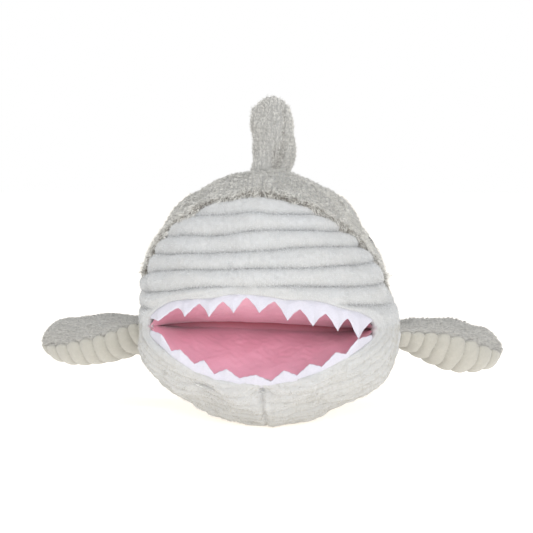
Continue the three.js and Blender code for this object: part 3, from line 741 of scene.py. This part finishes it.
def teeth(name, lip, tips, valleys, sign, lean, arch):
    """A felt strip cut to points: sign -1 hangs and 1 stands, and lean is how far the tips stand forward, in mm."""
    across = np.linspace(valleys[0][0], valleys[-1][0], 900)
    tip_x, tip_z = np.array(tips).T
    valley_x, valley_z = np.array(valleys).T
    k = np.clip(np.searchsorted(valley_x, across) - 1, 0, len(tips) - 1)
    before = across < tip_x[k]
    near = np.where(before, valley_x[k], valley_x[k + 1])
    near_z = np.where(before, valley_z[k], valley_z[k + 1])
    t_edge = np.clip((across - near) / (tip_x[k] - near), 0, 1)
    # Each cut runs from a rounded valley to a pointed tip, and the scissors waver a little.
    tooth = t_edge**arch
    edge = near_z + (tip_z[k] - near_z) * tooth
    edge = edge + 0.18 * np.sin(across * 1.7) * np.sin(math.pi * t_edge)
    inner = np.clip(across, CORNER_RIGHT + 0.5, CORNER_LEFT - 0.5)
    lip_z = curve(lip, inner)
    root_z = lip_z - sign * FELT_ROOT
    t = np.linspace(0, 1, FELT_ROWS)[:, None]
    height = root_z + (edge - root_z) * t
    station = face_station(inner, lip_z)
    behind = np.maximum(face_station(inner + 0 * t, height) - station, 0) * (1 - smooth(t, 0.25, 0.6))
    outward = lean * t**1.4 * (0.3 + 0.7 * tooth)
    s_at = station + behind + FELT_SETBACK + 1.6 * (1 - smooth(t, 0, 0.4)) - outward
    s_at = s_at + 0.3 * np.sin(across * 0.55 + 2 * t) * t
    slope = np.gradient(station, across)
    middle = np.stack([across + 0 * t, y_of(s_at), height], axis=-1)
    normal = rows_unit(np.stack([slope, -np.ones_like(slope), 0 * slope], axis=-1))
    # Each tooth is a little cupped, and its thickness rounds off at the cut edge.
    cup = 0.7 * np.sin(math.pi * np.clip(tooth, 0, 1)) * t
    thick = 0.5 * FELT_THICKNESS * np.sqrt(np.clip(1 - t**6, 0.04, 1)) + 0 * across
    front = middle + normal * (thick - cup)[..., None]
    rear = middle - normal * (thick + cup)[..., None]
    loop = np.concatenate([front, rear[::-1]], axis=0)
    away = np.concatenate([normal + 0 * front, -normal + 0 * rear], axis=0)
    return make_mesh(name, loop, wound(loop, grid_faces(len(loop), len(across)), away), MATERIALS["felt"])


upper_teeth = teeth("teeth_upper_felt", UPPER_LIP, UPPER_TIPS, UPPER_VALLEYS, -1, 2.6, 1.35)
lower_teeth = teeth("teeth_lower_felt", LOWER_LIP, LOWER_TIPS, LOWER_VALLEYS, 1, 3.4, 1.0)


# ---- Fins ----
def blade_grid(outline, place, rows, columns):
    """A closed blade: rows run along the span, columns go round the section. Returns points and (u, angle)."""
    u = np.linspace(0, 1, rows)
    u = 0.5 - 0.5 * np.cos(u * math.pi) if outline.get("both_tips") else np.sin(u * math.pi / 2)
    u = np.clip(u, 0, 0.99999)[:, None]
    angle = np.linspace(0, 2 * math.pi, columns, endpoint=False)[None, :]
    span, middle, half_chord, half_thickness, bend = outline["at"](u)
    # The seam may wander up or down from the leading edge, at angle pi.
    shift = outline["seam"](u) if "seam" in outline else 0 * u
    true = angle - shift * bell(angle - math.pi, 0.7)
    chord = middle + half_chord * signed_power(np.cos(true), 0.9)
    edge = np.clip(1 - np.abs(np.cos(true)) ** 10, 0, 1) ** 0.6
    across = bend + half_thickness * np.sin(true) * (0.85 + 0.15 * edge)
    return place(span + 0 * angle, chord, across), u + 0 * angle, angle + 0 * u


def lerp(a, b, t):
    return a + (b - a) * t


def swell(u, root, full, reach=0.45):
    """A thickness that grows from the root's to the full one over a share of the span."""
    return root + (full - root) * np.sin(np.minimum(u / reach, 1) * (math.pi / 2))


def unit(vector):
    return vector / np.linalg.norm(vector)


def turned(vector, axis, degrees):
    """A vector turned about a unit axis."""
    t = math.radians(degrees)
    return vector * math.cos(t) + np.cross(axis, vector) * math.sin(t) + axis * (axis @ vector) * (1 - math.cos(t))


def fin_pieces(word, points, u, angle, under_material, relief_of, seam_depth=0.9):
    """Displaces a blade and splits it at its edge seam into a grey piece and another."""
    normal = grid_normals(points, closed=True)
    centre = points.mean(axis=1, keepdims=True)
    if ((points - centre) * normal).sum() < 0:
        normal = -normal
    edge = bell(np.abs(np.sin(angle)), 0.06, 1.5)
    height, groove_value = relief_of(points, u, angle)
    root = smooth(u, 0.0, 0.12)
    points = points + normal * ((height - seam_depth * edge) * root * smooth(1 - u, 0, 0.02))[..., None]
    quads = wound(points, grid_faces(*points.shape[:2], closed=True), normal)
    top_side = np.sin(angle).ravel()[quads].mean(axis=1) > 0
    # Painted shade in the ribs' grooves and the dorsal's gathers, and along the edge seam.
    shade = np.clip(np.maximum(groove_value, 0.4 * seam_depth * edge), 0, 1)
    pieces = []
    for suffix, chosen, material in (("a", top_side, "grey"), ("b", ~top_side, under_material)):
        pieces.append(make_mesh(f"{word}_{suffix}", points, quads[chosen], MATERIALS[material], {"groove": shade}))
    return pieces


def grey_relief(seed, flow, depth=0.14):
    """Lumps, and streaks of pile that run where flow is small along an axis."""
    def relief_of(points, u, angle):
        streaks = depth * waves(points * flow, 4.5, seed + 1) + depth * waves(points * flow, 2.2, seed + 2)
        return 0.7 * waves(points, 26, seed) + streaks + 0.2, np.zeros_like(u)

    return relief_of


TWIST_MIDDLE = 0.55
FINS = {}  # name: (its two pieces, the bodies and points its blend runs between)


def hinge(name):
    """A joint's place in mm and its axis."""
    return np.array(JOINTS[name]["pos_m"]) * 1000, unit(np.array(JOINTS[name]["axis"], float))


def pectoral(word, side, reach, twists, swelling):
    """A side fin. twists: degrees, leading edge up, at its root, middle and tip. swelling: root thickness, length."""
    origin, axis = hinge(f"pectoral_{word}_flap")
    axis = axis * np.sign(axis[1])
    root, tip, sweep, thickness, droop, curl = 56, 50, 24, 31, 8, 4
    root_twist, middle_twist, tip_twist = twists
    outward = np.array([side, 0, 0], float)
    outward = unit(outward - axis * (outward @ axis))
    drooped = turned(outward, axis, side * droop)
    lift = turned(np.array([0, 0, 1.0]), axis, side * droop)
    inset = 5.0  # the root is sewn a little way into the flank

    def at(u):
        span = -inset + (reach + inset) * u
        share = np.clip(span / reach, 0, 1)
        half_chord = 0.5 * lerp(root, tip, share) * tapered(u, 4.5)
        half_thickness = 0.5 * swell(share, swelling[0], thickness, swelling[1]) * tapered(u, 7)
        return span, sweep * share**1.2, half_chord, half_thickness, -curl * share**2

    def place(span, chord, across):
        share = span / reach
        inner = (middle_twist - root_twist) * smooth(share, 0, TWIST_MIDDLE)
        twist = np.radians(root_twist + inner + (tip_twist - middle_twist) * smooth(share, TWIST_MIDDLE, 1))
        along = chord * np.cos(twist) + across * np.sin(twist)
        rise = across * np.cos(twist) - chord * np.sin(twist)
        return origin + span[..., None] * drooped + along[..., None] * axis + rise[..., None] * lift

    def rib_phase(u):
        return u * (reach + inset) / FIN_PITCH + 0.3 * np.sin(5 * u)

    def seam(u):
        return (0.17 * np.abs(np.sin(math.pi * rib_phase(u))) ** 0.7 - 0.03) * smooth(1 - u, 0.02, 0.15)

    points, u, angle = blade_grid({"at": at, "seam": seam}, place, 220, 240)

    def relief_of(points, u, angle):
        grey_height, _ = grey_relief(40 + side, [0.35, 1, 1])(points, u, angle)
        rib, groove_value = ribs(rib_phase(u) + 0.05 * waves(points, 30, 44), FIN_RIB)
        under = smooth(-np.sin(angle), -0.05, 0.05)
        # The underside's rib grooves get painted shade.
        return lerp(grey_height, rib, under), 0.6 * (groove_value**1.6) * under

    body = f"pectoral_{word}"
    pieces = fin_pieces(body, points, u, angle, "fin_white_shaded", relief_of)
    FINS[body] = pieces, ("trunk", body, tuple(origin * MM), tuple((origin + outward * 22) * MM))


pectoral("left", 1, 83.5, (6, 15.5, 5), (9, 0.7))
pectoral("right", -1, 87.5, (15.5, 2, -11), (14, 0.5))


def dorsal():
    origin, axis = hinge("dorsal_lean")
    up = unit(np.array([0, 0, 1.0]) - axis * axis[2])
    reach, root, tip, sweep, thickness, base, inset = 56, 66, 36, 23, 26, 20, 6.0

    def at(u):
        span = -inset + (reach + inset) * u
        share = np.clip(span / reach, 0, 1)
        half_chord = 0.5 * lerp(root, tip, share**0.8) * tapered(u, 4)
        half_thickness = 0.5 * swell(share, base, thickness) * tapered(u, 4)
        return span, sweep * share**1.1, half_chord, half_thickness, 0 * share

    def place(span, chord, across):
        # The fin is turned a little, and its rear tip flops towards the shark's right.
        share = np.clip(span / reach, 0, 1)
        flop = share**1.3 * smooth(chord, sweep * 0.2, sweep + 20)
        side = across + (2.0 - 0.10 * chord) * smooth(share, -0.1, 0.5) - 13.0 * flop
        # Its base flares out on the shark's right, where it is sewn down.
        side = side - 3.5 * (1 - smooth(share, -0.05, 0.16)) * smooth(-across, 0, 6)
        height = span - 9.0 * flop
        return origin + height[..., None] * up + chord[..., None] * axis + side[..., None] * np.array([1.0, 0, 0])

    def seam(u):
        return 0.52 + 0.05 * np.sin(9 * u) + 0.03 * np.sin(21 * u) - 0.25 * (1 - u) ** 3

    points, u, angle = blade_grid({"at": at, "seam": seam}, place, 140, 220)

    def relief_of(points, u, angle):
        # The front seam lies in a parting, and small gathers fan out from the base; the gathers get painted shade.
        height, _ = grey_relief(60, [1, 1, 0.22], 0.3)(points, u, angle)
        front = smooth(-np.cos(angle), 0.2, 0.8)
        creases = 0 * u
        for start, fan in ((-0.5, -0.5), (-0.28, -0.2), (-0.05, 0.1), (0.2, 0.3), (0.45, 0.6)):
            line = math.pi + start - fan * (0.45 - u)
            creases = creases + 1.7 * bell(angle - line, 0.07) * smooth(0.5 - u, 0, 0.25)
        return height - creases * front, np.clip(0.4 * creases, 0, 0.8) * front

    pieces = fin_pieces("dorsal", points, u, angle, "grey", relief_of, 1.8)
    FINS["dorsal"] = pieces, ("trunk", "dorsal", tuple(origin * MM), tuple((origin + up * 16) * MM))


dorsal()


def tail_fin():
    reach, root, tip, sweep, thickness, inset = 53, 46, 26, 27, 17, 3.0

    def at(u):
        t = 2 * u - 1
        size = np.abs(t)
        half_chord = 0.5 * lerp(root, tip, size) * tapered(size, 5)
        middle = -inset + 0.5 * root + sweep * size**1.5 + 2 * t
        half_thickness = 0.5 * thickness * (1 - 0.35 * t * t) * tapered(size, 6)
        return reach * (t + 1), middle, half_chord, half_thickness, 0 * t

    def place(span, chord, across):
        return np.stack([across, y_of(FIN_STATION + chord), FIN_HEIGHT - reach + span], axis=-1)

    points, u, angle = blade_grid({"at": at, "both_tips": True}, place, 160, 180)
    pieces = fin_pieces("tail_fin", points, u, angle, "grey", grey_relief(70, [1, 0.4, 1]))
    start, end = ((0, y_of(FIN_STATION + k) * MM, FIN_HEIGHT * MM) for k in (-2, 14))
    FINS["tail_fin"] = pieces, ("tail", "tail_fin", start, end)


tail_fin()


# ---- Pile: thin bent strands on the grey plush ----
def tuft_pull(root, normal, size):
    """How far each root is from the middle of its tuft, along the skin; tufts sit on a jittered grid."""
    cell = np.floor(root / size)
    key = cell @ np.array([12.9898, 78.233, 37.719])
    jitter = np.stack([np.modf(np.abs(np.sin(key + i) * 43758.5453))[0] for i in range(3)], axis=-1)
    return flattened((cell + 0.2 + 0.6 * jitter) * size - root, normal)


# Shares of a strand's length that the shortest and the longest have, and mm that its root goes into the skin.
SHORTEST, LONGEST, ROOT_DEPTH = 0.55, 1.15, 0.4
MIDDLE_PULL, TIP_PULL = 0.35, 0.9  # how far a strand's middle and tip lean into their tuft
WANDER, SCATTER = 0.22, 0.2  # how far the pile's direction strays, together and strand by strand


def strands(name, obj, density, length, width, lean, material, seed, keep=None, rise=0.6, lift=0.12, tuft=2.8):
    """Strands over a piece: density per mm2, lengths in mm, and lean(points) is the way the pile lies."""
    draw = np.random.default_rng(seed)
    mesh = obj.data
    points, vertex_normals = read(mesh.vertices, "co", 3) / MM, read(mesh.vertices, "normal", 3)
    quads = read(mesh.loops, "vertex_index", 1, int).reshape(-1, 4)
    a, b, c, d = (points[quads[:, i]] for i in range(4))
    area = 0.5 * (np.linalg.norm(np.cross(b - a, c - a), axis=1) + np.linalg.norm(np.cross(c - a, d - a), axis=1))
    count = draw.poisson(area * density)
    index = np.repeat(np.arange(len(quads)), count)
    s, t = draw.random(len(index))[:, None], draw.random(len(index))[:, None]
    corner = [points[quads[index, i]] for i in range(4)]
    root = (corner[0] * (1 - s) + corner[1] * s) * (1 - t) + (corner[3] * (1 - s) + corner[2] * s) * t
    normal = vertex_normals[quads[index, 0]]
    if keep is not None:
        chosen = keep(root, draw)
        root, normal = root[chosen], normal[chosen]
    comb = lean(root)
    comb += WANDER * np.stack([waves(root, 11, seed + i) for i in range(3)], axis=-1)
    comb += SCATTER * draw.normal(size=comb.shape)
    comb = flattened(comb, normal)
    size = length * draw.uniform(SHORTEST, LONGEST, (len(root), 1))
    # The lower half of a strand rises from the skin and the upper half bends over.
    direction = rows_unit(normal * rise + comb * 0.8)
    middle = root + direction * size * 0.5
    bent = rows_unit(normal * lift + comb)
    pull = tuft_pull(root, normal, tuft)
    tip = middle + bent * size * 0.5 + TIP_PULL * pull
    middle = middle + MIDDLE_PULL * pull
    side = rows_unit(np.cross(direction, draw.normal(size=root.shape))) * (0.5 * width)
    base = root - normal * ROOT_DEPTH
    block = np.stack([base - side, middle + side, middle - side, tip], axis=1)
    start = (np.arange(len(root)) * 4)[:, None]
    triangles = (start + np.array([[0, 1, 2, 2, 1, 3]])).reshape(-1, 3)
    return make_mesh(name, block.reshape(-1, 3), triangles, MATERIALS[material])


def along(x, y, z):
    """A lean that is the same everywhere."""
    return lambda points: np.tile(np.array([x, y, z]), (len(points), 1))


def back_lean(points):
    """Over the back the pile lies forward and down; at the snout seam it falls over the seam."""
    return along(0.0, -0.9, -0.35)(points) + 0.15 * np.sign(points[:, :1]) * [1, 0, 0]


SIDES = ("left", "right")
BACKS = ("back_left", "back_right", "stalk_back")
PILE = [(word, skins[word], back_lean) for word in BACKS]
# A side fin has pile on its top only.
PILE += [(f"pectoral_{side}", FINS[f"pectoral_{side}"][0][0], along(0.8 * sign, 0.4, -0.2))
         for side, sign in zip(SIDES, (1, -1))]
PILE += [(f"{fin}_{side}", piece, along(0.0, 0.45, 0.7))
         for fin in ("dorsal", "tail_fin") for side, piece in zip(SIDES, FINS[fin][0])]
DENSITY = 1.0
piles = {}
for number, (word, piece, lean) in enumerate(PILE):
    density = 1.0 if "back" in word else 1.3 if "dorsal" in word else 2.6
    material = "grey_mid_strands" if "pectoral" in word else "grey_strands"
    piles[word] = strands(f"{word}_pile", piece, DENSITY * density, 2.5, 0.24, lean, material, 100 + 10 * number)


def near_snout_seam(width):
    """Keeps roots within a width in mm of the snout's seam."""

    def keep(root, draw):
        x, s, z = root[:, 0], root[:, 1] + MID_LENGTH, root[:, 2]
        return (seam_distance(x, s, z) < width * draw.uniform(0.1, 1, len(root)) ** 1.5) & over_snout(s, z)

    return keep


def on_head(root, draw):
    return root[:, 1] + MID_LENGTH < 95


# The head's pile is denser. A longer fringe hangs over the snout's seam, with dark strands under it as painted shade.
for number, side in enumerate(SIDES):
    for word, density, length, width, material, seed, keep, rise, lift in (
        ("head", 1.4, 3.2, 0.24, "grey_light_strands", 280, on_head, 0.5, 0.12),
        ("head_mid", 0.6, 3.0, 0.26, "grey_mid_strands", 290, on_head, 0.5, 0.16),
        ("fringe", 3.0, 6.5, 0.30, "grey_light_strands", 300, near_snout_seam(7), 0.9, 0.3),
        ("fringe_shade", 2.4, 4.6, 0.34, "grey_shade_strands", 320, near_snout_seam(3.5), 0.8, 0.3),
    ):
        piles[f"{word}_{side}"] = strands(
            f"{word}_{side}_pile", skins[f"back_{side}"], DENSITY * density, length, width, back_lean, material,
            seed + number, keep, rise, lift,
        )
for number, word in enumerate(("snout", "chin_left", "chin_right")):
    # The chin's pile is darker and warmer, as painted shade under the jaw.
    material = "white_strands" if word == "snout" else "chin_shade_strands"
    piles[word] = strands(f"{word}_pile", skins[word], DENSITY * 1.2, 1.1, 0.22, along(0.0, 0.1, -0.6), material,
                          400 + number, lift=0.5, tuft=1.2)


# ---- Eyes and label ----
def eye_material():
    n = Nodes("black_button")
    smudge = n.noise(6, detail=2.0)
    base = n.ramp(smudge, 0.3, 0.7, (0.006, 0.006, 0.007), (0.014, 0.013, 0.013))
    n.link(base, n.shader.inputs["Base Color"])
    n.shader.inputs["Roughness"].default_value = 0.12
    return n.material


def set_material(node, material):
    mesh = frame["nodes"][node].data
    mesh.materials.clear()
    mesh.materials.append(material)


stuffing = grained("fibre_stuffing", (5, 5.0, 0.7), 0.3, ((0.72, 0.72, 0.70), (0.88, 0.88, 0.87)), 0.95, (2.0, 0.8),
                   sheen=0.2)

# How much smaller each filling is than its CAD node, along x, y and z.
SHRINK = {"jaw": (0.76, 0.72, 0.68), "trunk": (0.93, 0.94, 0.92), "tail": (0.85, 0.96, 0.85),
          "tail_fin": (0.45, 0.8, 0.86), "dorsal": (0.5, 0.84, 0.88)}
# Below this height the trunk is filled only behind this station.
THROAT_HEIGHT, NECK = 72.0, 95.0


def filling(node):
    """A smaller copy of a CAD stuffing, kept out of the mouth."""
    mesh = frame["nodes"][node].data
    co = read(mesh.vertices, "co", 3) / MM
    middle = 0.5 * (co.min(axis=0) + co.max(axis=0))
    points = middle + (co - middle) * SHRINK.get(node.removesuffix("_stuffing"), (0.9, 0.84, 0.72))
    triangles = np.array([list(polygon.vertices) for polygon in mesh.polygons])
    if node in ("trunk_stuffing", "jaw_stuffing"):
        above = node == "trunk_stuffing"
        if above:
            low_front = (points[:, 2] < THROAT_HEIGHT) & (points[:, 1] < y_of(NECK))
            points[low_front, 1] = y_of(NECK)
        reach, gap = (6, 2) if above else (12, 5)
        sheet = read((roof if above else floor_lining).data.vertices, "co", 3) / MM
        for i, (x, y, z) in enumerate(points):
            close = sheet[np.hypot(sheet[:, 0] - x, sheet[:, 1] - y) < reach, 2]
            if len(close) and not above:
                points[i, 2] = min(z, close.min() - gap)
            elif len(close) and z > FOLD_HEIGHT:
                points[i, 2] = max(z, close.max() + gap)
    return make_mesh(f"{node}_fibre", points, triangles, stuffing)


fillings = {node: filling(node) for node in frame["nodes"] if node.endswith("stuffing")}
PLASTIC = (0.8, 0.8, 0.78)
eye = eye_material()
washer = grained("washer_plastic", (1.2, 2.0), 0.3, (scaled(PLASTIC, 0.94), PLASTIC), 0.45, (0.1, 0.3))
label = grained("label_tape", (0.5, 1.0, 0.6, (1, 4, 0.6)), 0.35, ((0.78, 0.775, 0.76), (0.86, 0.855, 0.84)), 0.6,
                (0.15, 0.4), sheen=0.2)
for side in SIDES:
    set_material(f"eye_{side}", eye)
    set_material(f"eye_washer_{side}", washer)
set_material("care_label", label)

# ---- Transforms applied, what the head's pile rides on, and what each piece replaces ----
jaw_skins = [skins[name] for name in ("snout", "chin_left", "chin_right", "belly_left", "belly_right")]
jaw_piles = [piles[name] for name in ("snout", "chin_left", "chin_right")]
tail_skins = [skins[name] for name in (*BACKS, "stalk_belly", "belly_left_rear", "belly_right_rear")]
for piece in (*jaw_skins, *jaw_piles, roof, floor_lining, upper_teeth, lower_teeth, fillings["trunk_stuffing"],
              fillings["jaw_stuffing"]):
    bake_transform(piece)
for piece in (fillings["tail_stuffing"], *tail_skins, *(piles[name] for name in BACKS)):
    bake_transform(piece)
for fin, (pieces, bend) in FINS.items():
    fin_piles = [pile for name, pile in piles.items() if name.startswith(fin)]
    for piece in (*pieces, *fin_piles, fillings[f"{fin}_stuffing"]):
        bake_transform(piece)
for name in piles:
    if name.startswith(("fringe", "head")):
        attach(piles[name], "trunk")

REPLACED = {f"{part}_{side}": f"{part}_panel_{side}" for part in ("back", "chin", "belly") for side in SIDES}
REPLACED |= {"snout": "snout_panel", "stalk_back": "tail_back_panel", "stalk_belly": "tail_belly_panel"}
replacements = [(skins[name], node) for name, node in REPLACED.items()]
replacements += [(roof, "mouth_roof_lining"), (floor_lining, "mouth_floor_lining"), (upper_teeth, "teeth_upper"),
                 (lower_teeth, "teeth_lower")]
for fin, (pieces, _) in FINS.items():
    parts = ("top_panel", "under_panel") if "pectoral" in fin else ("panel_left", "panel_right")
    replacements += [(piece, f"{fin}_{part}") for piece, part in zip(pieces, parts)]
for piece, node in replacements + [(piece, node) for node, piece in fillings.items()]:
    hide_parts(node)

# Each new piece's slot is looked up from its material's name, the other materials being slots of their own; the answer
# is not used.
SLOTS = {"grey_": "grey_plush", "white_pile": "white_ribbed_plush", "white_fin": "white_ribbed_plush"}
for obj in bpy.data.objects:
    if obj.type == "MESH" and obj.name not in frame["nodes"]:
        fabric = obj.data.materials[0].name.split(".")[0]
        next((slot for start, slot in SLOTS.items() if fabric.startswith(start)), fabric)

# ---- Floor, light and camera ----
FLOOR = 6.0
floor_mesh = bpy.data.meshes.new("floor")
corners = [(x * FLOOR, y * FLOOR, 0) for x, y in ((-1, -1), (1, -1), (1, 1), (-1, 1))]
floor_mesh.from_pydata(corners, [], [(0, 1, 2, 3)])
floor_nodes = Nodes("pale_floor")
floor_nodes.shader.inputs["Emission Color"].default_value = (1, 0.92, 0.80, 1)
floor_nodes.shader.inputs["Emission Strength"].default_value = 0.6
floor_mesh.materials.append(floor_nodes.finish((0.95, 0.95, 0.95), 0.9))
placed("floor", floor_mesh)

world = bpy.data.worlds.new("studio")
bpy.context.scene.world = world
world.use_nodes = True
nodes, links = world.node_tree.nodes, world.node_tree.links
background = nodes["Background"]
background.inputs["Color"].default_value = (0.97, 0.985, 1.0, 1)
background.inputs["Strength"].default_value = 0.60
# The backdrop itself is plain white.
backdrop, choice, path = (nodes.new(f"ShaderNode{kind}") for kind in ("Background", "MixShader", "LightPath"))
backdrop.inputs["Color"].default_value = (1, 1, 1, 1)
for output, socket in ((path.outputs["Is Camera Ray"], choice.inputs[0]), (background.outputs[0], choice.inputs[1]),
                       (backdrop.outputs[0], choice.inputs[2]),
                       (choice.outputs[0], nodes["World Output"].inputs["Surface"])):
    links.new(output, socket)


def area_light(name, place, target, size, power):
    data = bpy.data.lights.new(name, "AREA")
    data.shape = "SQUARE"
    data.size = size
    data.energy = power
    light = placed(name, data)
    light.location = place
    light.rotation_euler = (Vector(target) - Vector(place)).to_track_quat("-Z", "Y").to_euler()


area_light("key", (-0.2, -0.7, 1.7), (0, -0.05, 0.08), 0.8, 9)
area_light("front_fill", (0.4, -1.9, 0.45), (0, -0.1, 0.08), 0.8, 17)

CAMERA = dict(yaw=3.0, elevation=4.0, distance=1.0, station=95, height=0.0975, aim_x=-0.001, pixels_per_mm=1.578)
camera_data = bpy.data.cameras.new("camera")
camera = bpy.context.scene.camera = placed("camera", camera_data)
aim = Vector((CAMERA["aim_x"], y_of(CAMERA["station"]) * MM, CAMERA["height"]))
yaw, elevation = math.radians(CAMERA["yaw"]), math.radians(CAMERA["elevation"])
away = Vector((math.sin(yaw) * math.cos(elevation), -math.cos(yaw) * math.cos(elevation), math.sin(elevation)))
camera.location = aim + away * CAMERA["distance"]
camera.rotation_euler = (-away).to_track_quat("-Z", "Y").to_euler()
SENSOR, IMAGE = 36.0, 533
camera_data.sensor_width = SENSOR
camera_data.lens = CAMERA["pixels_per_mm"] * 1000 * CAMERA["distance"] / IMAGE * SENSOR
camera_data.clip_start, camera_data.clip_end = 0.01, 50
bpy.context.scene.view_settings.view_transform = "Standard"
